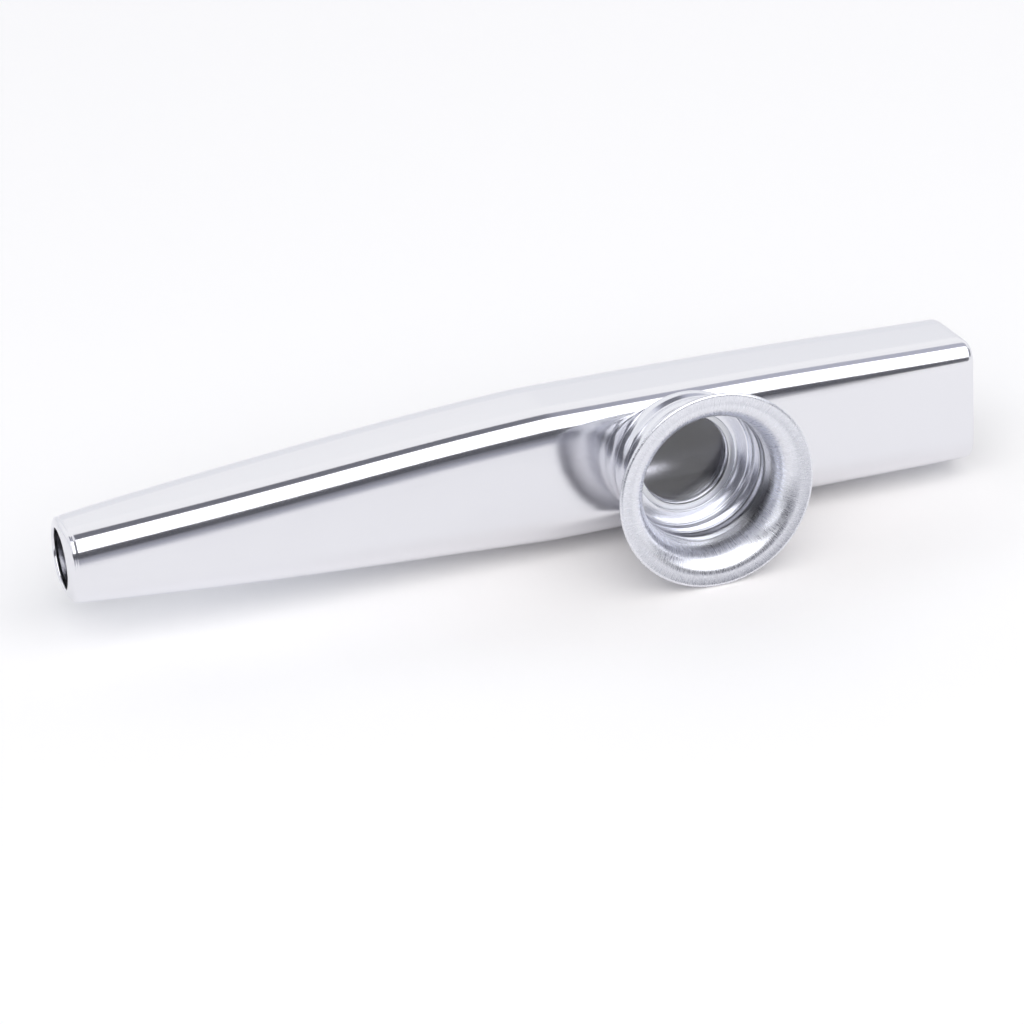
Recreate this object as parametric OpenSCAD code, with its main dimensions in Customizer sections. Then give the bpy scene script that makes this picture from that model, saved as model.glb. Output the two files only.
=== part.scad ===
// Kazoo: a tapered metal tube with a round turret on its front face. The turret's socket has a rolled
// screw thread, and a flared horn screws into it and holds a thin resonator film on the socket's floor.
//
// Every piece is drawn in the kazoo's own axes: X runs along the tube from its narrow outlet end, Y runs
// across the front face and Z runs out of the front face along the turret. The finished kazoo then lies
// on its side, on the horn's rim and the tube's lower back edge, with +Z up.

/* [Tube] */
// Length of the tube
body_len = 120.5; // [100:0.5:140]
// Width of the narrow outlet end, across the front face
tip_w = 9.2; // [8.4:0.1:10]
// Depth of the narrow outlet end, from the front face to the back
tip_d = 10.6; // [10:0.1:12]
// Width of the tube at its widest place
belly_w = 17.7; // [16.5:0.1:20]
// Depth of the tube at its widest place
belly_d = 13.8; // [13:0.1:15]
// Width of the end that goes into the mouth
mouth_w = 16.5; // [14:0.1:18]
// Depth of the end that goes into the mouth
mouth_d = 13.2; // [11:0.1:14]
// Thickness of the tube's wall
wall = 0.8; // [0.6:0.05:1]
// Reach of the eased front corners at the outlet end
tip_corner = 3.7; // [3:0.1:4]
// Reach of the eased front corners at the mouth end
mouth_corner = 2.7; // [2.2:0.1:3.4]
// Reach of the eased back corners at the outlet end
tip_back = 4.2; // [3:0.1:4.2]
// Reach of the eased back corners at the mouth end
mouth_back = 4.4; // [3.6:0.1:5]
// Rounding of the outer edge at both ends
edge_round = 0.7; // [0.4:0.05:0.75]
// Diameter of the round hole in the turned-in outlet end
tip_hole = 7.7; // [6.6:0.1:7.8]
// How far the front face bows out between the turret and the outlet end
tip_rise = 0.65; // [0:0.05:0.8]
// How far the front face rises towards the mouth end
mouth_rise = 0.7; // [0:0.05:1]

/* [Turret] */
// Distance from the outlet end to the turret's axis
turret_x = 79.75; // [70:0.05:86]
// Height of the socket above the front face
socket_h = 6; // [5.6:0.1:6.4]
// Rounding of the socket's bottom corner
socket_corner = 1.2; // [0.9:0.05:1.4]
// Thickness of the socket's and the horn's sheet metal
sheet = 0.28; // [0.24:0.01:0.32]
// Outer radius of the eyelet that fixes the socket in the tube
eyelet_r = 6.1; // [5.5:0.05:6.2]
// How far the eyelet is turned over inside the tube
eyelet_turn = 0.6; // [0.4:0.05:0.7]

/* [Screw thread] */
// Outer radius of the horn's barrel, the same at its thread's crests and its plain throat
barrel_r = 9.12; // [9:0.02:9.4]
// Rise of the thread in one turn
thread_pitch = 3; // [2.4:0.1:3.4]
// Depth of the rolled thread from crest to root
thread_depth = 0.32; // [0.24:0.02:0.38]
// Radial gap between the horn's thread and the socket's
thread_gap = 0.1; // [0.08:0.01:0.16]

/* [Horn] */
// Height of the horn's rim above the front face
horn_h = 11.75; // [11:0.05:13]
// Outer radius of the horn's rim
rim_r = 12.95; // [12:0.05:15]
// Thickness of the rolled bead on the rim
bead_d = 0.6; // [0.5:0.05:0.8]
// Height at which the flare leaves the straight throat
flare_start = 7.6; // [7.3:0.05:8.4]
// How far the flare turns from the straight throat: beyond 90 degrees it droops towards the rim
flare_turn = 104; // [92:2:108]
// Radius of the opening in the horn's curled inner end
curl_r = 6.7; // [6.4:0.05:7.2]
// Radius of the bend in the horn's curled inner end
curl_bend = 0.5; // [0.4:0.05:0.7]

/* [Resonator] */
// Outer radius of the ring that holds the film
ring_r = 8.5; // [8.2:0.05:8.7]
// Radius of the free film inside the ring
film_free_r = 6; // [5.8:0.05:6.3]
// Thickness of the ring
ring_t = 0.55; // [0.4:0.05:0.6]
// Thickness of the film
film_t = 0.05; // [0.03:0.01:0.08]

/* [Hidden] */
$fn = 96;

// Where the tube is widest, as a share of its length, and the powers of its swelling on each side
belly_share = 0.52;
tip_width_power = 1.15;
tip_depth_power = 3.2;
mouth_width_power = 1.4;
mouth_depth_power = 2.5;

// The corners' easing: the power of their curve, and of the front corners' change along the tube
corner_power = 3;
corner_change_power = 2;

// Where the turned-in end's hole sits below the front face, as a share of the depth, and how far into the
// tube the end is turned in, as a share of the edge's rounding
hole_share = 0.55;
turned_share = 2.2;

// How far the flat round the turret reaches, as shares of the length, and the front face's bow beyond it
seat_shares = [0.2, 0.075];
tip_bow = 145;
mouth_bow = 90;

// Height of the front face over the kazoo's axis at the turret, as a share of the depth
front_share = 0.433;
front_h = belly_d * front_share;

// Small gaps: under the socket's floor, round the eyelet and under the horn's curled end
seat_gap = 0.02;
eyelet_gap = 0.05;
turn_gap = 0.03;
press_gap = 0.05;
film_edge = 0.3;
film_gap = 0.01;

// Run-out of the thread at its ends, and the lap where a threaded sleeve joins a plain wall
runout = 0.5;
lap = 0.15;
bite = 0.06;
overrun = 1;

// How finely the loft and the threads are stepped
corner_steps = 8;
loft_steps = 30;
edge_steps = 3;
lean_steps = 4;
turn_steps = 48;
pitch_steps = 10;
arc_steps = 10;

// Heights above the front face
floor_top = seat_gap + sheet;
film_low = floor_top + film_gap;
film_top = film_low + film_t;
ring_top = film_top + film_gap + ring_t;
curl_low = ring_top + press_gap;
thread_low = curl_low + curl_bend + lap;
crest_h = 3;
crest_dir = 124;
crest_power = 2;
neck = 0.7;

// Radii of the two threaded sheets
horn_minor = barrel_r - thread_depth;
throat_r = barrel_r - sheet;
socket_major = barrel_r + thread_gap;
socket_out = socket_major + sheet;

// Rest pose: the rim's bead and the tube's lower back edge stand on one level. The reach of an eased
// corner from its centre changes with the lean, so the lean is worked out in a few rounds.
belly_back = tip_back + (mouth_back - tip_back) * belly_share;
back_h = belly_d - front_h;
rim_axis_h = front_h + horn_h - bead_d / 2;
rim_axis_r = rim_r - bead_d / 2;
edge_y = belly_w / 2 - belly_back;
edge_z = back_h - belly_back;
lean_a = rim_axis_r - edge_y;
lean_b = rim_axis_h + edge_z;
lean_len = sqrt(lean_a * lean_a + lean_b * lean_b);
dual = corner_power / (corner_power - 1);
function corner_reach(turn) = belly_back * pow(pow(cos(turn), dual) + pow(sin(turn), dual), 1 / dual);
function lean_after(n) =
    n == 0 ? 0 : acos((corner_reach(lean_after(n - 1)) - bead_d / 2) / lean_len) - atan2(lean_b, lean_a);
lean = lean_after(lean_steps);
lift = edge_y * cos(lean) + edge_z * sin(lean) + corner_reach(lean);
front_reach = rim_axis_h * cos(lean) + rim_axis_r * sin(lean) + bead_d / 2;
back_reach = edge_z * cos(lean) + edge_y * sin(lean) + corner_reach(lean);

// Smooth step from 0 to 1
function ease(t) = t <= 0 ? 0 : t >= 1 ? 1 : t * t * (3 - 2 * t);

// A size along the tube, from the tip over the belly to the mouth, each side with its own power
function swell(s, tip, belly, mouth, powers) =
    s < belly_share
    ? belly - (belly - tip) * pow(1 - s / belly_share, powers[0])
    : belly - (belly - mouth) * pow((s - belly_share) / (1 - belly_share), powers[1]);

// A soft bow that starts level: its share of the full rise after the share q of its way
function bow(q, turn) = q <= 0 ? 0 : pow(sin(turn * min(q, 1)), 2);

// Width, depth, front face and reach of the corners of the tube at distance x from the outlet end
function width_at(x) = swell(x / body_len, tip_w, belly_w, mouth_w, [tip_width_power, mouth_width_power]);
function depth_at(x) = swell(x / body_len, tip_d, belly_d, mouth_d, [tip_depth_power, mouth_depth_power]);
function front_at(x) =
    let (seat_from = turret_x - seat_shares[0] * body_len,
         seat_to = turret_x + seat_shares[1] * body_len)
    front_h + tip_rise * bow(1 - x / seat_from, tip_bow)
            + mouth_rise * bow((x - seat_to) / (body_len - seat_to), mouth_bow);
function corner_at(x) = tip_corner + (mouth_corner - tip_corner) * pow(x / body_len, corner_change_power);
function back_at(x) = tip_back + (mouth_back - tip_back) * x / body_len;

// A point of an eased quarter corner of unit reach, where its face has turned by the angle
function eased(turn) =
    let (c = pow(max(cos(turn), 0), 1 / (corner_power - 1)),
         s = pow(max(sin(turn), 0), 1 / (corner_power - 1)),
         size = pow(pow(c, corner_power) + pow(s, corner_power), 1 / corner_power))
    [c / size, s / size];

// The tube's section at x with its eased corners, drawn in from the outside by the inset
function section(x, inset) =
    let (half = width_at(x) / 2,
         front = corner_at(x),
         back = back_at(x),
         top = front_at(x) - front,
         low = front_at(x) - depth_at(x) + back)
    [for (c = [[half - front, top, 0, front], [front - half, top, 90, front],
               [back - half, low, 180, back], [half - back, low, 270, back]], k = [0 : corner_steps])
        let (p = eased(90 * k / corner_steps) * (c[3] - inset))
        [x, c[0] + p[0] * cos(c[2]) - p[1] * sin(c[2]), c[1] + p[0] * sin(c[2]) + p[1] * cos(c[2])]];

// The round hole of the turned-in end at x, with as many points as a section
function hole_ring(x) =
    let (n = 4 * (corner_steps + 1),
         middle = front_at(0) - hole_share * tip_d)
    [for (k = [0 : n - 1])
        let (a = 360 * (k + 0.5) / n) [x, tip_hole / 2 * cos(a), middle + tip_hole / 2 * sin(a)]];

// Inset of the outer edge's rounding at distance e from an end
function edge_inset(e) =
    e >= edge_round ? 0 : edge_round - sqrt(edge_round * edge_round - pow(edge_round - e, 2));

// Triangles between two rings of n points, the second one after the first
function band(a, b, n) =
    [for (i = [0 : n - 1]) let (j = (i + 1) % n) each [[a + i, b + i, a + j], [a + j, b + i, b + j]]];

// A closed skin from a list of rings: each ring is joined to the next one, and the last to the first
module ring_skin(rings) {
    n = len(rings[0]);
    m = len(rings);
    points = [for (ring = rings) each ring];
    faces = [for (k = [0 : m - 1]) each band(k * n, ((k + 1) % m) * n, n)];
    polyhedron(points, faces, convexity = 6);
}

// Rings of a rolled thread in a sleeve of sheet metal, up its outside and down its inside. The groove is 1
// where the sheet is rolled in to its full depth, along a helix.
function groove(h, a) =
    pow((1 + cos(360 * (h - crest_h) / thread_pitch - (a - crest_dir))) / 2, crest_power);
function ring_at(h, radii) =
    [for (i = [0 : turn_steps - 1]) let (a = 360 * i / turn_steps) [radii[i] * cos(a), radii[i] * sin(a), h]];

// Share of the full thread at height h, between two run-outs
function thread_share(h, from, to) = min(ease((h - from) / runout), ease((to - h) / runout));

// Outside radius of the horn's thread: never more than the full thread, so that it clears at every turn
function horn_radii(h, top) =
    [for (i = [0 : turn_steps - 1])
        let (a = 360 * i / turn_steps,
             full = horn_minor + thread_depth * (1 - groove(h, a)) * ease((h - thread_low) / runout),
             blend = ease((h - socket_h) / (top - socket_h)))
        full + (barrel_r - full) * blend];

// Inside radius of the socket's thread: never less than the full thread and its gap
function socket_radii(h) =
    [for (i = [0 : turn_steps - 1])
        let (a = 360 * i / turn_steps)
        socket_major - thread_depth * groove(h, a) * thread_share(h, socket_corner + lap, socket_h)];

function grown(radii, by) = [for (r = radii) r + by];
function steps(from, to) =
    let (n = ceil((to - from) / (thread_pitch / pitch_steps))) [for (k = [0 : n]) from + (to - from) * k / n];

// Points of a round bend about [r, h], from angle a0 to a1
function bend(r, h, radius, a0, a1) =
    [for (k = [0 : arc_steps]) let (a = a0 + (a1 - a0) * k / arc_steps) [r + radius * cos(a), h + radius * sin(a)]];

// Lays a piece from the kazoo's own axes into its rest pose
module rest_pose() {
    translate([-body_len / 2, (front_reach - back_reach) / 2, lift])
        rotate([90 - lean, 0, 0])
            children();
}

// Carries a piece of the turret to its seat on the front face
module on_turret() {
    rest_pose()
        translate([turret_x, 0, front_h])
            children();
}

// Seamless tube, drawn as one loft inside and outside, with its outlet end turned in to a round hole and
// the eyelet's hole through its front face
module body_shell() {
    turned = edge_round * turned_share;
    edges = [for (k = [0 : edge_steps]) edge_round * (1 - cos(90 * k / edge_steps))];
    middle = [for (k = [1 : loft_steps - 1]) body_len * k / loft_steps];
    far = [for (k = [edge_steps : -1 : 0]) body_len - edges[k]];
    outside = concat(edges, middle, far);
    inside = concat([body_len], [for (k = [loft_steps - 1 : -1 : 1]) middle[k - 1]], [turned]);
    color("#E4E4EA")
        rest_pose()
            difference() {
                ring_skin(concat(
                    [hole_ring(0)],
                    [for (x = outside) section(x, edge_inset(min(x, body_len - x)))],
                    [for (x = inside) section(x, wall)],
                    [hole_ring(wall)]));
                translate([turret_x, 0, front_h - wall - overrun])
                    cylinder(r = eyelet_r + eyelet_gap, h = wall + 2 * overrun);
            }
}

// Eyelet, floor and bottom corner of the socket, spun from sheet
module socket_base() {
    turn_top = -wall - turn_gap;
    rotate_extrude()
        polygon(concat(
            [[eyelet_r - sheet, floor_top], [eyelet_r - sheet, turn_top - sheet],
             [eyelet_r + eyelet_turn, turn_top - sheet], [eyelet_r + eyelet_turn, turn_top],
             [eyelet_r, turn_top], [eyelet_r, seat_gap]],
            bend(socket_out - socket_corner, seat_gap + socket_corner, socket_corner, -90, 0),
            [[socket_out, seat_gap + socket_corner + 2 * lap], [socket_major, seat_gap + socket_corner + 2 * lap]],
            bend(socket_out - socket_corner, seat_gap + socket_corner, socket_corner - sheet, 0, -90)));
}

// Socket of the turret: the spun base and the wall with its rolled thread
module turret_socket() {
    heights = steps(seat_gap + socket_corner + lap, socket_h);
    color("#DCDDE2")
        on_turret()
            union() {
                socket_base();
                ring_skin(concat(
                    [ring_at(heights[0], grown(socket_radii(heights[0]), sheet - bite))],
                    [for (k = [1 : len(heights) - 1]) ring_at(heights[k], grown(socket_radii(heights[k]), sheet))],
                    [for (k = [len(heights) - 1 : -1 : 1]) ring_at(heights[k], socket_radii(heights[k]))],
                    [ring_at(heights[0], grown(socket_radii(heights[0]), bite))]));
            }
}

// Ring that holds the film's edge
module resonator_ring() {
    color("#C9CAD0")
        on_turret()
            translate([0, 0, film_top + film_gap])
                difference() {
                    cylinder(r = ring_r, h = ring_t);
                    translate([0, 0, -overrun])
                        cylinder(r = film_free_r, h = ring_t + 2 * overrun);
                }
}

// Thin film that buzzes, held flat under the ring
module resonator_film() {
    color("#B8BCC4")
        on_turret()
            translate([0, 0, film_low])
                cylinder(r = ring_r - film_edge, h = film_t);
}

// A point of the flare's inner line at angle a, and the same point on the outside of the sheet
flare_w = (rim_r - bead_d - throat_r) / (1 - cos(flare_turn));
flare_h = (horn_h - bead_d / 2 - flare_start) / sin(flare_turn);
function flare_in(a) = [throat_r + flare_w * (1 - cos(a)), flare_start + flare_h * sin(a)];
function flare_out(a) =
    let (n = [flare_h * cos(a), -flare_w * sin(a)], size = sqrt(n[0] * n[0] + n[1] * n[1]))
    flare_in(a) + sheet * n / size;

// Plain throat and flare with the beaded rim
module horn_flare(low) {
    angles = [for (k = [0 : arc_steps]) flare_turn * k / arc_steps];
    rotate_extrude()
        polygon(concat(
            [[throat_r, low]],
            [for (k = [0 : arc_steps - 1]) flare_in(angles[k])],
            bend(rim_axis_r, horn_h - bead_d / 2, bead_d / 2, 180, -90),
            [for (k = [arc_steps : -1 : 0]) flare_out(angles[k])],
            [[barrel_r, low]]));
}

// Curled inner end that presses on the resonator
module horn_curl(top) {
    rotate_extrude()
        polygon(concat(
            [[curl_r, curl_low]],
            bend(horn_minor - curl_bend, curl_low + curl_bend, curl_bend, -90, 0),
            [[horn_minor, top], [horn_minor - sheet, top]],
            bend(horn_minor - curl_bend, curl_low + curl_bend, curl_bend - sheet, 0, -90),
            [[curl_r, curl_low + sheet]]));
}

// Horn: curled end, barrel with its rolled thread, plain throat and flare
module horn() {
    top = socket_h + neck;
    heights = steps(thread_low, top);
    last = len(heights) - 1;
    radii = [for (h = heights) horn_radii(h, top)];
    color("#E0E1E6")
        on_turret()
            union() {
                horn_curl(thread_low + lap);
                horn_flare(top - lap);
                ring_skin(concat(
                    [ring_at(heights[0], grown(radii[0], -bite))],
                    [for (k = [1 : last - 1]) ring_at(heights[k], radii[k])],
                    [ring_at(heights[last], grown(radii[last], -bite))],
                    [ring_at(heights[last], grown(radii[last], bite - sheet))],
                    [for (k = [last - 1 : -1 : 1]) ring_at(heights[k], grown(radii[k], -sheet))],
                    [ring_at(heights[0], grown(radii[0], bite - sheet))]));
            }
}

body_shell();
turret_socket();
resonator_ring();
resonator_film();
horn();
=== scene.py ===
import math

import bpy
import bmesh
from mathutils import Matrix, Vector


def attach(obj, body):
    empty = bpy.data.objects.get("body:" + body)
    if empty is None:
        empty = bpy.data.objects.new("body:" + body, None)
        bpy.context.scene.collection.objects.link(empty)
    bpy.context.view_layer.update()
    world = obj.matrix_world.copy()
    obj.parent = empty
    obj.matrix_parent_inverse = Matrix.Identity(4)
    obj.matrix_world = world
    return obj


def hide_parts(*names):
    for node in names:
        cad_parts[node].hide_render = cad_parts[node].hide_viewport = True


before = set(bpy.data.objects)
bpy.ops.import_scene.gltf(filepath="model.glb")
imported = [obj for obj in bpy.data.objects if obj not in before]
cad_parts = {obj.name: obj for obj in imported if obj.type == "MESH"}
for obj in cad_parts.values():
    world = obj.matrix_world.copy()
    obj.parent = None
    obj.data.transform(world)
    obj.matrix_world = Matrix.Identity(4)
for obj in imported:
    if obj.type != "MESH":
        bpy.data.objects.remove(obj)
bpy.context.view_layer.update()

MM = 0.001
scene = bpy.context.scene

# The tube's sizes in millimetres, as the solids have them
BODY_LEN = 120.5
TIP_W, TIP_D = 9.2, 10.6
BELLY_W, BELLY_D = 17.7, 13.8
MOUTH_W, MOUTH_D = 16.5, 13.2
WALL = 0.8
TIP_BACK, MOUTH_BACK = 4.2, 4.4
TIP_HOLE = 7.7
TIP_RISE, MOUTH_RISE = 0.65, 0.7
TURRET_X = 79.75

# Where the belly is along the tube, how the tube swells to it, how the front line bows beside the turret's
# seat, and how high the front face and the hole lie
BELLY_SHARE = 0.52
WIDTH_POWERS, DEPTH_POWERS = (1.15, 1.4), (3.2, 2.5)
SEAT_FROM_SHARE, SEAT_TO_SHARE = 0.2, 0.075
TIP_BOW, MOUTH_BOW = 145, 90
FRONT_SHARE, HOLE_SHARE = 0.433, 0.55
FRONT_H = BELLY_D * FRONT_SHARE
CORNER_POWER = 3
LEAN_ROUNDS = 4

# What the scene alone has on the tube: larger front corners, rounder ends and a faint groove behind the lip
TIP_CORNER, MOUTH_CORNER = 3.9, 3.4
TIP_ROUND, MOUTH_ROUND = 0.85, 1.1
LIP_GROOVE, LIP_GROOVE_X, LIP_GROOVE_W = 0.09, 1.0, 0.2

# The lip's face and the end of its finely drawn part, and the front and the broken edges of the hole in it
LIP_FACE, LIP_LEN = 0.02, 1.6
HOLE_FRONT, HOLE_ROUND = 0.25, 0.1

# At the wide end, the flat that is left of the wall, and where the inside starts
EDGE_LAND, EDGE_BACK = 0.08, 0.15

# The shallow arc of the inner lower back corner under the turret: how far it turns, in degrees, how far it
# reaches along the tube to each side, and the part of that reach over which it fades, in mm
SHALLOW_TURN = 42.0
SHALLOW_REACH, SHALLOW_FADE = 18, 8

# How finely the tube is drawn: steps of a corner, of the length and of the lip, and points on a flat side
CORNER_STEPS = 16
LENGTH_STEPS = 150
LIP_STEP, LIP_STEPS = 0.05, 15
SIDE_SHARES = (0.03, 0.12, 0.31, 0.5, 0.69, 0.88, 0.97)

# The turret's sizes in millimetres, as the solids have them: sheet, socket and thread
SHEET = 0.28
SOCKET_H = 6.0
SOCKET_CORNER = 1.2
EYELET_R, EYELET_TURN = 6.1, 0.6
SEAT_GAP, EYELET_GAP, TURN_GAP, LAP = 0.02, 0.05, 0.03, 0.15
EYELET_LOW = -WALL - TURN_GAP
BARREL_R = 9.12
PITCH = 3.0
THREAD_DEPTH = 0.32
THREAD_GAP = 0.1
RUNOUT = 0.5
GROOVE_H, GROOVE_DIR = 3.0, 124.0

# Horn, resonator and the heights of their seats over the tube's front face
NECK = 0.7
HORN_H = 11.75
RIM_R = 12.95
BEAD_D = 0.6
FLARE_START, FLARE_TURN = 7.6, 104.0
CURL_R, CURL_BEND = 6.7, 0.5
RING_R, FREE_R, RING_T = 8.5, 6.0, 0.55
RING_ROUND = 0.12
FILM_T, FILM_GAP, FILM_EDGE, FILM_SLACK = 0.05, 0.01, 0.3, 0.01
PRESS_GAP = 0.05
FLOOR_TOP = SEAT_GAP + SHEET
FILM_TOP = FLOOR_TOP + FILM_GAP + FILM_T
RING_TOP = FILM_TOP + FILM_GAP + RING_T
CURL_LOW = RING_TOP + PRESS_GAP


def rest_place():
    """Lays the kazoo's own axes down: it lies on the horn's rim and the tube's lower back edge."""
    corner = TIP_BACK + (MOUTH_BACK - TIP_BACK) * BELLY_SHARE
    edge_y, edge_z = BELLY_W / 2 - corner, BELLY_D - FRONT_H - corner
    rim_h, rim_r = FRONT_H + HORN_H - BEAD_D / 2, RIM_R - BEAD_D / 2
    a, b = rim_r - edge_y, rim_h + edge_z
    dual = CORNER_POWER / (CORNER_POWER - 1)
    lean = 0.0
    for _ in range(LEAN_ROUNDS):
        reach = corner * (math.cos(lean) ** dual + math.sin(lean) ** dual) ** (1 / dual)
        lean = math.acos((reach - BEAD_D / 2) / math.hypot(a, b)) - math.atan2(b, a)
    lift = edge_y * math.cos(lean) + edge_z * math.sin(lean) + reach
    front = rim_h * math.cos(lean) + rim_r * math.sin(lean) + BEAD_D / 2
    back = edge_z * math.cos(lean) + edge_y * math.sin(lean) + reach
    return (Matrix.Translation(Vector((-BODY_LEN / 2, (front - back) / 2, lift)) * MM)
            @ Matrix.Rotation(math.radians(90) - lean, 4, "X"))


REST = rest_place()
TURRET = REST @ Matrix.Translation(Vector((TURRET_X, 0, FRONT_H)) * MM)


# making sheets of metal

def ease(t):
    """A soft step from 0 to 1."""
    t = min(max(t, 0.0), 1.0)
    return t * t * (3 - 2 * t)


def closed_skin(name, rows, place):
    """A closed skin of quads over rows of points, in mm. The rows close on themselves, and the last row
    meets the first one."""
    n, m = len(rows[0]), len(rows)
    verts = [tuple(c * MM for c in p) for row in rows for p in row]
    faces = [(k * n + i, k * n + (i + 1) % n, ((k + 1) % m) * n + (i + 1) % n, ((k + 1) % m) * n + i)
             for k in range(m) for i in range(n)]
    mesh = bpy.data.meshes.new(name)
    mesh.from_pydata(verts, [], faces)
    mesh.validate()
    bm = bmesh.new()
    bm.from_mesh(mesh)
    bmesh.ops.remove_doubles(bm, verts=bm.verts, dist=1e-8)
    bmesh.ops.recalc_face_normals(bm, faces=bm.faces)
    bm.to_mesh(mesh)
    bm.free()
    mesh.shade_smooth()
    piece = bpy.data.objects.new(name, mesh)
    piece.matrix_world = place
    scene.collection.objects.link(piece)
    return piece


def spun(name, profile, steps):
    """A piece turned about the turret's axis. profile(a) gives its outline at the angle a, in degrees."""
    rows = []
    for k in range(steps):
        a = 360 * k / steps
        ca, sa = math.cos(math.radians(a)), math.sin(math.radians(a))
        rows.append([(r * ca, r * sa, h) for r, h in profile(a)])
    return closed_skin(name, rows, TURRET)


def bend(r, h, radius, a0, a1, steps=8):
    """Points of a round bend about (r, h)."""
    turns = [math.radians(a0 + (a1 - a0) * k / steps) for k in range(steps + 1)]
    return [(r + radius * math.cos(a), h + radius * math.sin(a)) for a in turns]


def line(p, q, steps):
    """Points between p and q, without the two ends."""
    return [(p[0] + (q[0] - p[0]) * k / steps, p[1] + (q[1] - p[1]) * k / steps) for k in range(1, steps)]


# the drawn tube

def swell(s, tip, belly, mouth, powers):
    """The tube's width or depth at the share s of its length."""
    if s < BELLY_SHARE:
        return belly - (belly - tip) * (1 - s / BELLY_SHARE) ** powers[0]
    return belly - (belly - mouth) * ((s - BELLY_SHARE) / (1 - BELLY_SHARE)) ** powers[1]


def bow(q, turn):
    """How far the front line has bowed, from 0 to 1, at the share q of the way from its seat to an end."""
    return 0.0 if q <= 0 else math.sin(math.radians(turn * min(q, 1))) ** 2


def eased_corner(reach):
    """Points of a corner between two flat sides, eased so that it starts and ends softly."""
    arc = []
    for k in range(CORNER_STEPS + 1):
        a = math.radians(90 * k / CORNER_STEPS)
        c, e = math.sqrt(max(math.cos(a), 0)), math.sqrt(math.sin(a))
        size = (c ** CORNER_POWER + e ** CORNER_POWER) ** (1 / CORNER_POWER) / reach
        arc.append(Vector((c / size, e / size)))
    return arc


def shallow_corner(reach):
    """Points of a corner that is one shallow arc, as many as in an eased one."""
    b = math.radians(SHALLOW_TURN)
    radius = reach / math.sin(b)
    turns = [b * (1 - k / CORNER_STEPS) for k in range(CORNER_STEPS + 1)]
    return [Vector((radius * math.sin(a), reach - radius * (1 - math.cos(a)))) for a in turns]


def section(x, inset, shallow=0.0):
    """The tube's section at x with its eased corners, drawn in by the inset. The lower back corner can be a
    shallow round instead, by the share given."""
    s = x / BODY_LEN
    w = swell(s, TIP_W, BELLY_W, MOUTH_W, WIDTH_POWERS)
    d = swell(s, TIP_D, BELLY_D, MOUTH_D, DEPTH_POWERS)
    seat_from, seat_to = TURRET_X - SEAT_FROM_SHARE * BODY_LEN, TURRET_X + SEAT_TO_SHARE * BODY_LEN
    front = (FRONT_H + TIP_RISE * bow(1 - x / seat_from, TIP_BOW)
             + MOUTH_RISE * bow((x - seat_to) / (BODY_LEN - seat_to), MOUTH_BOW))
    near = TIP_CORNER + (MOUTH_CORNER - TIP_CORNER) * s
    far = TIP_BACK + (MOUTH_BACK - TIP_BACK) * s
    corners = []
    for turn, side, size, top in ((0, 1, near, front - near), (90, -1, near, front - near),
                                  (180, -1, far, front - d + far), (270, 1, far, front - d + far)):
        arc = eased_corner(size - inset)
        if shallow and turn == 180:
            arc = [p.lerp(q, shallow) for p, q in zip(arc, shallow_corner(size - inset))]
        turned = Matrix.Rotation(math.radians(turn), 2)
        corners.append([turned @ p + Vector((side * (w / 2 - size), top)) for p in arc])
    ring = []
    for arc, following in zip(corners, corners[1:] + corners[:1]):
        ring += arc
        ring += [arc[-1].lerp(following[0], t) for t in SIDE_SHARES]
    return [(x, *p) for p in ring]


def hole_ring(x, radius):
    """The round hole in the narrow end, with as many points as a section."""
    middle = FRONT_H + TIP_RISE * bow(1, TIP_BOW) - TIP_D * HOLE_SHARE
    side_points = 1 + len(SIDE_SHARES)
    n = 4 * (CORNER_STEPS + side_points)
    turns = [math.tau * (k + side_points / 2) / n for k in range(n)]
    return [(x, radius * math.cos(a), middle + radius * math.sin(a)) for a in turns]


def tube_outside(x):
    """The tube's outside, with the faint groove that the lip's tool leaves behind it."""
    return section(x, LIP_GROOVE * math.exp(-((x - LIP_GROOVE_X) / LIP_GROOVE_W) ** 2))


def tube_inside(x):
    """The tube's inside, with the shallow corner under the turret."""
    return section(x, WALL, ease((SHALLOW_REACH - abs(x - TURRET_X)) / SHALLOW_FADE))


def tube_lip(turn):
    """The narrow end's lip: it turns in from the tube's outside to the rim of the round hole."""
    a = math.radians(turn)
    x = LIP_FACE + (TIP_ROUND - LIP_FACE) * (1 - math.sin(a))
    hole = hole_ring(x, TIP_HOLE / 2 + HOLE_ROUND)
    return [(x, *Vector(p[1:]).lerp(Vector(q[1:]), 1 - math.cos(a))) for p, q in zip(tube_outside(x), hole)]


def tube_edge(turn):
    """The wide end's rounded edge."""
    a = math.radians(turn)
    return section(BODY_LEN - MOUTH_ROUND * (1 - math.sin(a)), (WALL - EDGE_LAND) * (1 - math.cos(a)))


def cut_eyelet_hole(tube):
    """Cuts the eyelet's round hole through the tube's front face."""
    hole_r, core, reach, steps = EYELET_R + EYELET_GAP, 0.01, 2, 96
    low, high = FRONT_H - reach, FRONT_H + reach
    outline = [(core, high), (hole_r, high), (hole_r, low), (core, low)]
    turns = [math.tau * k / steps for k in range(steps)]
    cutter = closed_skin("hole_cutter", [
        [(TURRET_X + r * math.cos(a), r * math.sin(a), h) for r, h in outline] for a in turns], REST)
    cut = tube.modifiers.new("eyelet_hole", "BOOLEAN")
    cut.object, cut.solver, cut.operation = cutter, "EXACT", "DIFFERENCE"
    done = bpy.data.meshes.new_from_object(tube.evaluated_get(bpy.context.evaluated_depsgraph_get()))
    tube.modifiers.clear()
    tube.data = done
    bpy.data.objects.remove(cutter)


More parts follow.
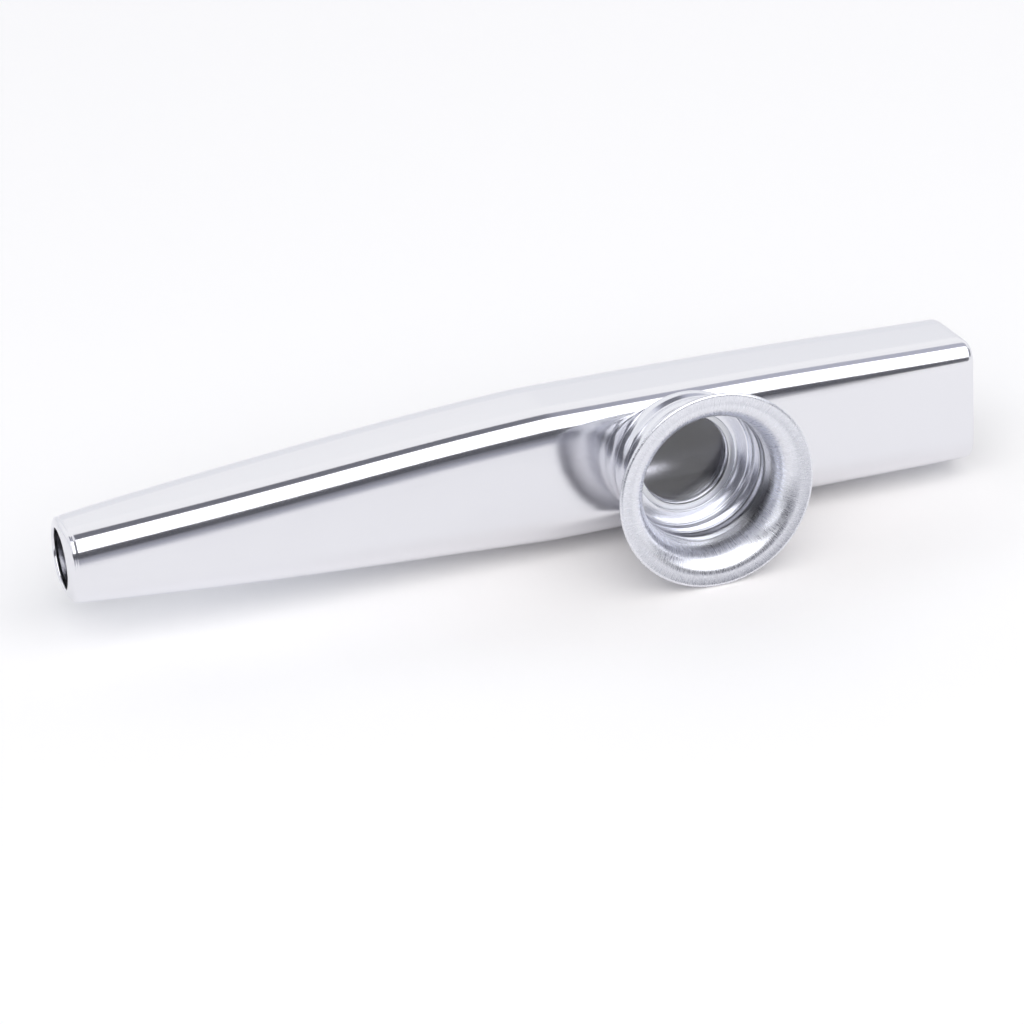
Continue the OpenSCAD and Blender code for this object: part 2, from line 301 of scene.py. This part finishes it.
def make_tube():
    """The drawn tube, as one skin: the hole, the lip, the outside, the wide end's edge and the inside."""
    length = BODY_LEN - TIP_ROUND - MOUTH_ROUND
    middle = [TIP_ROUND + length * k / LENGTH_STEPS for k in range(LENGTH_STEPS + 1)]
    plain = [x for x in middle if x > LIP_LEN]
    rows = [hole_ring(WALL - HOLE_ROUND, TIP_HOLE / 2), hole_ring(HOLE_FRONT, TIP_HOLE / 2)]
    rows += [tube_lip(turn) for turn in range(90, 0, -6)]
    rows += [tube_outside(TIP_ROUND + LIP_STEP * k) for k in range(LIP_STEPS)]
    rows += [section(x, 0) for x in plain]
    rows += [tube_edge(turn) for turn in range(6, 91, 6)]
    first_inside = (len(rows) + 1) * len(rows[0])
    rows += [tube_inside(x) for x in [BODY_LEN - EDGE_BACK] + plain[::-1] + [LIP_LEN]]
    rows += [hole_ring(WALL, TIP_HOLE / 2 + HOLE_ROUND)]
    tube = closed_skin("drawn_tube", rows, REST)
    tube.data.materials.append(anodised_tube())
    tube.data.materials.append(raw_tube_inside())
    for face in tube.data.polygons:
        face.material_index = 1 if face.index >= first_inside else 0
    cut_eyelet_hole(tube)
    return tube


# the turret

def groove(h, a):
    """The rolled groove along its helix: 1 at its floor and 0 on the crests."""
    return ((1 + math.cos(math.radians(360 * (h - GROOVE_H) / PITCH - (a - GROOVE_DIR)))) / 2) ** 2


def socket_wall(h, a):
    """Inner radius of the socket's wall, whose thread runs out at both ends."""
    share = min(ease((h - SOCKET_CORNER - LAP) / RUNOUT), ease((SOCKET_H - h) / RUNOUT))
    return BARREL_R + THREAD_GAP - THREAD_DEPTH * groove(h, a) * share


def make_socket():
    """The rolled socket: its eyelet, floor and bottom corner, and the wall with its thread."""
    corner_r, corner_h = BARREL_R + THREAD_GAP + SHEET - SOCKET_CORNER, SEAT_GAP + SOCKET_CORNER
    rim_round, foot_round, steps = SHEET / 2, 0.1, 60
    neck, foot, neck_h = EYELET_R - SHEET, EYELET_R + EYELET_TURN, -0.3
    wall_h = SOCKET_H - rim_round - SOCKET_CORNER - SEAT_GAP
    heights = [SOCKET_CORNER + SEAT_GAP + wall_h * k / steps for k in range(steps + 1)]

    def profile(a):
        eyelet = [(neck, FLOOR_TOP), (neck, neck_h), (neck, EYELET_LOW - SHEET),
                  (foot - foot_round, EYELET_LOW - SHEET), (foot, EYELET_LOW - SHEET / 2),
                  (foot - foot_round, EYELET_LOW), (EYELET_R, EYELET_LOW), (EYELET_R, SEAT_GAP)]
        floor = line((EYELET_R, SEAT_GAP), (corner_r, SEAT_GAP), 4)
        corner = bend(corner_r, corner_h, SOCKET_CORNER, -90, 0)[:-1]
        wall = [(socket_wall(h, a) + SHEET, h) for h in heights]
        rim = bend(socket_wall(SOCKET_H, a) + rim_round, SOCKET_H - rim_round, rim_round, 0, 180, 6)[1:-1]
        back = [(socket_wall(h, a), h) for h in reversed(heights)]
        inner = bend(corner_r, corner_h, SOCKET_CORNER - SHEET, 0, -90)[1:]
        top = line((corner_r, FLOOR_TOP), (neck, FLOOR_TOP), 4)
        return eyelet + floor + corner + wall + rim + back + inner + top
    return spun("rolled_socket", profile, steps=240)


def make_horn():
    """The spun horn: its curled end, threaded barrel, throat and flare with a beaded rim."""
    thread_low = CURL_LOW + CURL_BEND + LAP
    top = SOCKET_H + NECK
    minor = BARREL_R - THREAD_DEPTH
    throat = BARREL_R - SHEET
    lip, bend_r, bend_h = SHEET / 2, minor - CURL_BEND, CURL_LOW + CURL_BEND
    steps, flare_steps, flare_last = 64, 24, 21
    heights = [thread_low + (top - thread_low) * k / steps for k in range(steps + 1)]
    flare_w = (RIM_R - BEAD_D - throat) / (1 - math.cos(math.radians(FLARE_TURN)))
    flare_h = (HORN_H - BEAD_D / 2 - FLARE_START) / math.sin(math.radians(FLARE_TURN))

    def barrel(h, a):
        """Outer radius of the barrel, whose thread runs out at its ends."""
        full = minor + THREAD_DEPTH * (1 - groove(h, a)) * ease((h - thread_low) / RUNOUT)
        return full + (BARREL_R - full) * ease((h - SOCKET_H) / (top - SOCKET_H))

    def flare_in(t):
        """A point of the flare's inside."""
        a = math.radians(t)
        return throat + flare_w * (1 - math.cos(a)), FLARE_START + flare_h * math.sin(a)

    def flare_out(t):
        """The same point on the outside of the sheet."""
        a = math.radians(t)
        nr, nh = flare_h * math.cos(a), -flare_w * math.sin(a)
        size = math.hypot(nr, nh)
        r, h = flare_in(t)
        return r + SHEET * nr / size, h + SHEET * nh / size

    def profile(a):
        curl = bend(CURL_R + lip, CURL_LOW + lip, lip, 90, 270, 6)
        curl += line((CURL_R + lip, CURL_LOW), (bend_r, CURL_LOW), 3)
        curl += bend(bend_r, bend_h, CURL_BEND, -90, 0)
        outside = [(barrel(h, a), h) for h in heights]
        outside += line((BARREL_R, top), (BARREL_R, FLARE_START), 4)
        outside += [flare_out(FLARE_TURN * k / 20) for k in range(21)]
        bead = bend(RIM_R - BEAD_D / 2, HORN_H - BEAD_D / 2, BEAD_D / 2, -90, 110, 16)
        inside = [flare_in(FLARE_TURN * k / flare_steps) for k in range(flare_last, -1, -1)]
        inside += line((throat, FLARE_START), (throat, top), 4)
        inside += [(barrel(h, a) - SHEET, h) for h in reversed(heights)]
        curl_in = bend(bend_r, bend_h, CURL_BEND - SHEET, 0, -90)
        curl_in += line((bend_r, CURL_LOW + SHEET), (CURL_R + lip, CURL_LOW + SHEET), 3)
        return curl + outside + bead + inside + curl_in
    return spun("spun_horn", profile, steps=288)


def make_ring():
    """The ring round the film, with its edges just broken."""
    r = RING_ROUND
    low, high = FILM_TOP + FILM_GAP, RING_TOP

    def profile(a):
        return (bend(FREE_R + r, low + r, r, 270, 180, 4) + bend(FREE_R + r, high - r, r, 180, 90, 4)
                + line((FREE_R + r, high), (RING_R - r, high), 6)
                + bend(RING_R - r, high - r, r, 90, 0, 4) + bend(RING_R - r, low + r, r, 0, -90, 4))
    return spun("film_ring", profile, steps=192)


def make_film():
    """The film, stretched in its ring, with hardly visible slackness."""
    rings = 36
    radii = [(RING_R - FILM_EDGE) * k / rings for k in range(rings + 1)]
    taut_from, slack_dir = FREE_R - 0.05, 40

    def slack(r, a):
        t = max(1 - (r / taut_from) ** 2, 0.0)
        return FILM_SLACK * t * math.sin(math.radians(2 * a + slack_dir)) * (r / FREE_R)

    def profile(a):
        return ([(r, FILM_TOP + slack(r, a)) for r in radii]
                + [(r, FILM_TOP - FILM_T + slack(r, a)) for r in reversed(radii)])
    return spun("stretched_film", profile, steps=96)


# materials

def linear(hex_colour):
    """An sRGB hex colour as the linear colour that the shader takes."""
    out = []
    for k in (1, 3, 5):
        c = int(hex_colour[k:k + 2], 16) / 255
        out.append(c / 12.92 if c <= 0.04045 else ((c + 0.055) / 1.055) ** 2.4)
    return (*out, 1.0)


def per(size):
    """The scale of a pattern whose marks have this real size in mm."""
    return 1 / (size * MM)


def add(tree, kind, values=None, links=None, **settings):
    """Adds a node with its settings, the values of its sockets and the links into them."""
    node = tree.nodes.new(kind)
    for key, value in settings.items():
        setattr(node, key, value)
    for key, value in (values or {}).items():
        node.inputs[key].default_value = value
    for key, source in (links or {}).items():
        tree.links.new(source, node.inputs[key])
    return node


def new_material(name):
    """A material with an empty node tree."""
    material = bpy.data.materials.new(name)
    material.use_nodes = True
    tree = material.node_tree
    tree.nodes.clear()
    return material, tree


def finish_material(tree, shader):
    """Puts the shader on the surface."""
    out = add(tree, "ShaderNodeOutputMaterial")
    tree.links.new(shader.outputs[0], out.inputs["Surface"])


def anodised_tube():
    """Drawn aluminium, buffed along its length and clear anodised: a soft mirror with faint long streaks."""
    material, tree = new_material("anodised_drawn_aluminium")
    place = add(tree, "ShaderNodeTexCoord")
    # Buffing streaks about 0.15 mm wide and 12 mm long
    streaks = add(tree, "ShaderNodeMapping", {"Scale": (per(12), per(0.15), per(0.15))},
                  {"Vector": place.outputs["Object"]})
    streak = add(tree, "ShaderNodeTexNoise", {"Scale": 1.0, "Detail": 3.0, "Roughness": 0.6},
                 {"Vector": streaks.outputs["Vector"]})
    # Cloudy handling marks about 9 mm across
    cloud = add(tree, "ShaderNodeTexNoise", {"Scale": per(9), "Detail": 2.0},
                {"Vector": place.outputs["Object"]})
    mixed = add(tree, "ShaderNodeMath", links={0: cloud.outputs["Fac"], 1: streak.outputs["Fac"]},
                operation="ADD")
    rough = add(tree, "ShaderNodeMapRange",
                {"From Min": 0.6, "From Max": 1.4, "To Min": 0.12, "To Max": 0.17},
                {"Value": mixed.outputs[0]})
    bump = add(tree, "ShaderNodeBump", {"Strength": 0.08, "Distance": 0.01 * MM},
               {"Height": streak.outputs["Fac"]})
    shader = add(tree, "ShaderNodeBsdfPrincipled",
                 {"Base Color": linear("#E7E7EB"), "Metallic": 1.0},
                 {"Roughness": rough.outputs["Result"], "Normal": bump.outputs["Normal"]})
    finish_material(tree, shader)
    return material


def raw_tube_inside():
    """Inside of the drawn tube: the same aluminium, never buffed, with a broad dull sheen."""
    material, tree = new_material("raw_drawn_aluminium")
    place = add(tree, "ShaderNodeTexCoord")
    # Drawing marks about 0.1 mm wide and 5 mm long
    marks = add(tree, "ShaderNodeMapping", {"Scale": (per(5), per(0.1), per(0.1))},
                {"Vector": place.outputs["Object"]})
    mark = add(tree, "ShaderNodeTexNoise", {"Scale": 1.0, "Detail": 2.0},
               {"Vector": marks.outputs["Vector"]})
    rough = add(tree, "ShaderNodeMapRange", {"To Min": 0.22, "To Max": 0.28},
                {"Value": mark.outputs["Fac"]})
    shader = add(tree, "ShaderNodeBsdfPrincipled",
                 {"Base Color": linear("#F2F2F7"), "Metallic": 1.0}, {"Roughness": rough.outputs["Result"]})
    finish_material(tree, shader)
    return material


def rolled_aluminium(name, satin_from):
    """Bright rolled aluminium sheet with fine turning lines. From a height in mm on, it is satin, with fine
    radial drawing streaks, as on the horn's flare."""
    material, tree = new_material(name)
    place = add(tree, "ShaderNodeTexCoord")
    split = add(tree, "ShaderNodeSeparateXYZ", links={0: place.outputs["Object"]})
    flat = add(tree, "ShaderNodeCombineXYZ", links={"X": split.outputs["X"], "Y": split.outputs["Y"]})
    radius = add(tree, "ShaderNodeVectorMath", links={0: flat.outputs[0]}, operation="LENGTH")
    both = add(tree, "ShaderNodeCombineXYZ", links={"X": radius.outputs["Value"], "Y": split.outputs["Z"]})
    # Turning lines about 0.12 mm apart
    lines = add(tree, "ShaderNodeTexNoise", {"Scale": per(0.12), "Detail": 2.0},
                {"Vector": both.outputs[0]})
    # Radial streaks about 0.13 mm wide on the flare, 12 mm from its axis, broken up every millimetre
    way = add(tree, "ShaderNodeVectorMath", links={0: flat.outputs[0]}, operation="NORMALIZE")
    long = add(tree, "ShaderNodeVectorMath", {"Scale": 12 / 0.13}, {0: way.outputs[0]}, operation="SCALE")
    step = add(tree, "ShaderNodeMath", {1: per(1)}, {0: radius.outputs["Value"]}, operation="MULTIPLY")
    turned = add(tree, "ShaderNodeSeparateXYZ", links={0: long.outputs[0]})
    polar = add(tree, "ShaderNodeCombineXYZ",
                links={"X": turned.outputs["X"], "Y": turned.outputs["Y"], "Z": step.outputs[0]})
    streaks = add(tree, "ShaderNodeTexNoise", {"Scale": 1.0, "Detail": 3.0, "Roughness": 0.7},
                  {"Vector": polar.outputs[0]})
    # The satin sets in softly, from 0.3 mm below that height to 0.5 mm above it
    satin = add(tree, "ShaderNodeMapRange",
                {"From Min": (satin_from - 0.3) * MM, "From Max": (satin_from + 0.5) * MM},
                {"Value": split.outputs["Z"]})
    bright = add(tree, "ShaderNodeMapRange",
                 {"From Min": 0.3, "From Max": 0.7, "To Min": 0.18, "To Max": 0.25},
                 {"Value": lines.outputs["Fac"]})
    dull = add(tree, "ShaderNodeMapRange",
               {"From Min": 0.3, "From Max": 0.7, "To Min": 0.18, "To Max": 0.40},
               {"Value": streaks.outputs["Fac"]})
    rough = add(tree, "ShaderNodeMix",
                links={"Factor": satin.outputs[0], "A": bright.outputs[0], "B": dull.outputs[0]})
    height = add(tree, "ShaderNodeMix",
                 links={"Factor": satin.outputs[0], "A": lines.outputs["Fac"], "B": streaks.outputs["Fac"]})
    depth = add(tree, "ShaderNodeMapRange", {"To Min": 0.1, "To Max": 0.7}, {"Value": satin.outputs[0]})
    bump = add(tree, "ShaderNodeBump", {"Distance": 0.02 * MM},
               {"Height": height.outputs[0], "Strength": depth.outputs[0]})
    shader = add(tree, "ShaderNodeBsdfPrincipled",
                 {"Base Color": linear("#E8E9EF"), "Metallic": 1.0},
                 {"Roughness": rough.outputs[0], "Normal": bump.outputs["Normal"]})
    finish_material(tree, shader)
    return material


def satin_aluminium():
    """Satin aluminium of the film's ring: a dull soft gloss."""
    material, tree = new_material("satin_aluminium")
    place = add(tree, "ShaderNodeTexCoord")
    # Grain about 0.1 mm across
    grain = add(tree, "ShaderNodeTexNoise", {"Scale": per(0.1), "Detail": 2.0},
                {"Vector": place.outputs["Object"]})
    bump = add(tree, "ShaderNodeBump", {"Strength": 0.1, "Distance": 0.01 * MM},
               {"Height": grain.outputs["Fac"]})
    shader = add(tree, "ShaderNodeBsdfPrincipled",
                 {"Base Color": linear("#E4E5E8"), "Metallic": 1.0, "Roughness": 0.28},
                 {"Normal": bump.outputs["Normal"]})
    finish_material(tree, shader)
    return material


def polyester_film():
    """Thin clear polyester film, through which the inside of the tube shows."""
    material, tree = new_material("clear_polyester_film")
    place = add(tree, "ShaderNodeTexCoord")
    # Haze about 3 mm across
    haze = add(tree, "ShaderNodeTexNoise", {"Scale": per(3), "Detail": 3.0},
               {"Vector": place.outputs["Object"]})
    rough = add(tree, "ShaderNodeMapRange", {"To Min": 0.09, "To Max": 0.12},
                {"Value": haze.outputs["Fac"]})
    shader = add(tree, "ShaderNodeBsdfPrincipled",
                 {"Base Color": linear("#F4F4F6"), "Transmission Weight": 1.0, "IOR": 1.62},
                 {"Roughness": rough.outputs["Result"]})
    finish_material(tree, shader)
    return material


# the pieces on their bodies

tube = make_tube()
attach(tube, "tube")
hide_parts("body_shell")

# The socket is bright up to its rim: its satin would only start above the horn
socket = make_socket()
socket.data.materials.append(rolled_aluminium("bright_rolled_socket", 20))
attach(socket, "tube")
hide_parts("turret_socket")

horn = make_horn()
horn.data.materials.append(rolled_aluminium("satin_flared_horn", FLARE_START))
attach(horn, "screw_horn")
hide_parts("horn")

ring = make_ring()
ring.data.materials.append(satin_aluminium())
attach(ring, "resonator")
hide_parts("resonator_ring")

film = make_film()
film.data.materials.append(polyester_film())
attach(film, "resonator")
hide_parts("resonator_film")


# table, cards, lamps and camera

# The studio's sizes in metres: half of the table, the distances of the cards, the place and the top of the
# low card in front, and the length of the lamps
TABLE_HALF = 1.5
BEHIND_FAR, SIDE_FAR, BRIGHT_FAR = 1.3, 0.85, 1.25
FRONT_Y, FRONT_TOP = -0.078, 0.044
LAMP_LENGTH = 2.6

# How bright the room is as a light, and how bright it looks
ROOM_LIGHT, ROOM_LOOK = 0.22, 0.96

# The camera as solved from the photograph: its lens in mm, and its place in mm and its directions in the
# kazoo's own axes
LENS, SENSOR = 132.553, 36
EYE = Vector((-78.96, 189.90, 415.83))
AIM = Vector((0.28674, -0.40774, -0.86690))
RIGHT = Vector((0.94021, -0.05383, 0.33630))


def seen_directly(tree):
    """1 for what the camera, a reflection or a clear piece sees, and 0 for light on matt surfaces."""
    path = add(tree, "ShaderNodeLightPath")
    either = add(tree, "ShaderNodeMath",
                 links={0: path.outputs["Is Camera Ray"], 1: path.outputs["Is Glossy Ray"]},
                 operation="MAXIMUM")
    return add(tree, "ShaderNodeMath", links={0: either.outputs[0], 1: path.outputs["Is Transmission Ray"]},
               operation="MAXIMUM").outputs[0]


def paper(name, colour, tint, glow_for):
    """A matt paper that glows where the camera, a reflection or a clear piece sees it."""
    material, tree = new_material(name)
    glow = add(tree, "ShaderNodeMath", links={0: seen_directly(tree), 1: glow_for(tree)},
               operation="MULTIPLY")
    shader = add(tree, "ShaderNodeBsdfPrincipled",
                 {"Base Color": linear(colour), "Roughness": 0.9, "Emission Color": linear(tint),
                  "Specular IOR Level": 0.0},
                 {"Emission Strength": glow.outputs[0]})
    finish_material(tree, shader)
    return material


def even(glow):
    """The same glow everywhere."""
    def build(tree):
        value = add(tree, "ShaderNodeValue")
        value.outputs[0].default_value = glow
        return value.outputs[0]
    return build


def faded(axis, start, end, low, high):
    """A glow that changes from low to high between two places along a world axis, in metres."""
    def build(tree):
        split = add(tree, "ShaderNodeSeparateXYZ",
                    links={0: add(tree, "ShaderNodeNewGeometry").outputs["Position"]})
        ramp = add(tree, "ShaderNodeMapRange",
                   {"From Min": start, "From Max": end, "To Min": low, "To Max": high},
                   {"Value": split.outputs[axis]})
        return ramp.outputs[0]
    return build


def glow_painted_darker_near_turret(start, end, low, high):
    """A glow that grows with the distance in metres from the turret, and more slowly along the tube. Low
    near the kazoo, it paints shade on the table round it.
    """
    along = 0.55
    turret_x = 0.02

    def build(tree):
        place = add(tree, "ShaderNodeMapping",
                    {"Location": (-turret_x * along, 0, 0), "Scale": (along, 1, 1)},
                    {"Vector": add(tree, "ShaderNodeNewGeometry").outputs["Position"]})
        far = add(tree, "ShaderNodeVectorMath", links={0: place.outputs[0]}, operation="LENGTH")
        ramp = add(tree, "ShaderNodeMapRange",
                   {"From Min": start, "From Max": end, "To Min": low, "To Max": high},
                   {"Value": far.outputs["Value"]}, interpolation_type="SMOOTHSTEP")
        return ramp.outputs[0]
    return build


def brighter(first, second):
    """The brighter of two glows."""
    def build(tree):
        return add(tree, "ShaderNodeMath", links={0: first(tree), 1: second(tree)},
                   operation="MAXIMUM").outputs[0]
    return build


def card(name, corners, material):
    """A flat studio card or table from its corners in metres."""
    mesh = bpy.data.meshes.new(name)
    mesh.from_pydata(corners, [], [tuple(range(len(corners)))])
    piece = bpy.data.objects.new(name, mesh)
    scene.collection.objects.link(piece)
    piece.data.materials.append(material)
    return piece


def reflected_card(name, corners, glow, tint="#EDEFFF"):
    """A dark card with a glow of its own, which shows in reflections and through clear pieces alone: it
    paints dark bands and glows into the metal's reflections, and neither lights the kazoo nor shades it.
    """
    piece = card(name, corners, paper(name + "_paper", "#101012", tint, glow))
    piece.visible_camera = piece.visible_diffuse = piece.visible_shadow = False
    return piece


def leaning(x0, x1, low, high, distance):
    """Corners of a long card between two tilts from straight up, towards -Y, in degrees."""
    def corner(x, tilt):
        a = math.radians(tilt)
        return (x, -distance * math.sin(a), distance * math.cos(a))
    return [corner(x0, low), corner(x1, low), corner(x1, high), corner(x0, high)]


def softbox(name, tilt, half_angle, distance, radiance):
    """A long soft lamp that faces the kazoo, which sees it under twice the half angle. The tilt is measured
    from straight up, towards -Y."""
    width = 2 * distance * math.tan(math.radians(half_angle))
    lamp = bpy.data.lights.new(name, "AREA")
    lamp.shape = "RECTANGLE"
    lamp.size, lamp.size_y = LAMP_LENGTH, width
    lamp.energy = radiance * math.pi * width * LAMP_LENGTH
    piece = bpy.data.objects.new(name, lamp)
    a = math.radians(tilt)
    piece.location = (0, -distance * math.sin(a), distance * math.cos(a))
    piece.rotation_euler = (a, 0, 0)
    piece.visible_camera = False
    scene.collection.objects.link(piece)
    return piece


# The table glows where it is seen, and less near the kazoo: painted shade round it, on top of its real
# shadow. The glow is blue on warm paper, so that this shade looks warm.
card("table", [(-TABLE_HALF, -TABLE_HALF, 0), (TABLE_HALF, -TABLE_HALF, 0), (TABLE_HALF, TABLE_HALF, 0),
               (-TABLE_HALF, TABLE_HALF, 0)],
     paper("table_paper", "#F4F1F0", "#E2F0FF", glow_painted_darker_near_turret(0.005, 0.036, 0.02, 0.18)))

# The dark cards paint dark bands and soft glows, ramped along X or Z, into the metal's reflections.
reflected_card("black_card_behind", leaning(-0.4, 1.2, -44, -8, BEHIND_FAR),
               brighter(faded("X", 0.30, 0.48, 0.22, 0.62), faded("X", -0.4, -0.15, 0.95, 0.22)))
# The low card in front rises off the table towards the right
reflected_card("black_card_front", [
    (-0.3, FRONT_Y, 0), (0.045, FRONT_Y, 0), (0.09, FRONT_Y, 0.019), (0.13, FRONT_Y, 0.024),
    (0.13, FRONT_Y, FRONT_TOP), (-0.3, FRONT_Y, FRONT_TOP)], faded("Z", 0.0, 0.013, 0.6, 0.12))
reflected_card("black_card_left", leaning(-0.7, -0.25, 74, -8, SIDE_FAR), faded("X", -0.7, -0.5, 0.5, 0.15))
reflected_card("black_card_right", leaning(0.75, 2.4, 74, -8, SIDE_FAR), faded("X", 0.85, 1.5, 0.7, 0.12))

# The back softbox lights the kazoo but is hidden from reflections. The bright card in its place glows for
# reflections alone, a painted reflection that the tube's top mirrors.
softbox("softbox_above", 32, 40, 0.95, 1.34)
softbox("softbox_behind", -60, 16, 1.3, 0.9).visible_glossy = False
reflected_card("bright_card_behind", leaning(-1.2, 1.6, -76, -44, BRIGHT_FAR), even(1.07), "#FEFEFF")

world = bpy.data.worlds.new("pale_room")
scene.world = world
world.use_nodes = True
tree = world.node_tree
tree.nodes.clear()
power = add(tree, "ShaderNodeMapRange", {"To Min": ROOM_LIGHT, "To Max": ROOM_LOOK},
            {"Value": seen_directly(tree)})
sky = add(tree, "ShaderNodeBackground", {"Color": linear("#FAFBFF")}, {"Strength": power.outputs["Result"]})
out = add(tree, "ShaderNodeOutputWorld")
tree.links.new(sky.outputs[0], out.inputs["Surface"])

camera = bpy.data.objects.new("camera", bpy.data.cameras.new("camera"))
camera.data.lens = LENS
camera.data.sensor_width = SENSOR
camera.data.clip_start, camera.data.clip_end = 0.01, 10
aim = AIM.normalized()
right = (RIGHT - RIGHT.dot(aim) * aim).normalized()
turn = Matrix((right, right.cross(aim), -aim)).transposed().to_4x4()
camera.matrix_world = REST @ Matrix.Translation(EYE * MM) @ turn
scene.collection.objects.link(camera)
scene.camera = camera

scene.view_settings.view_transform = "Standard"
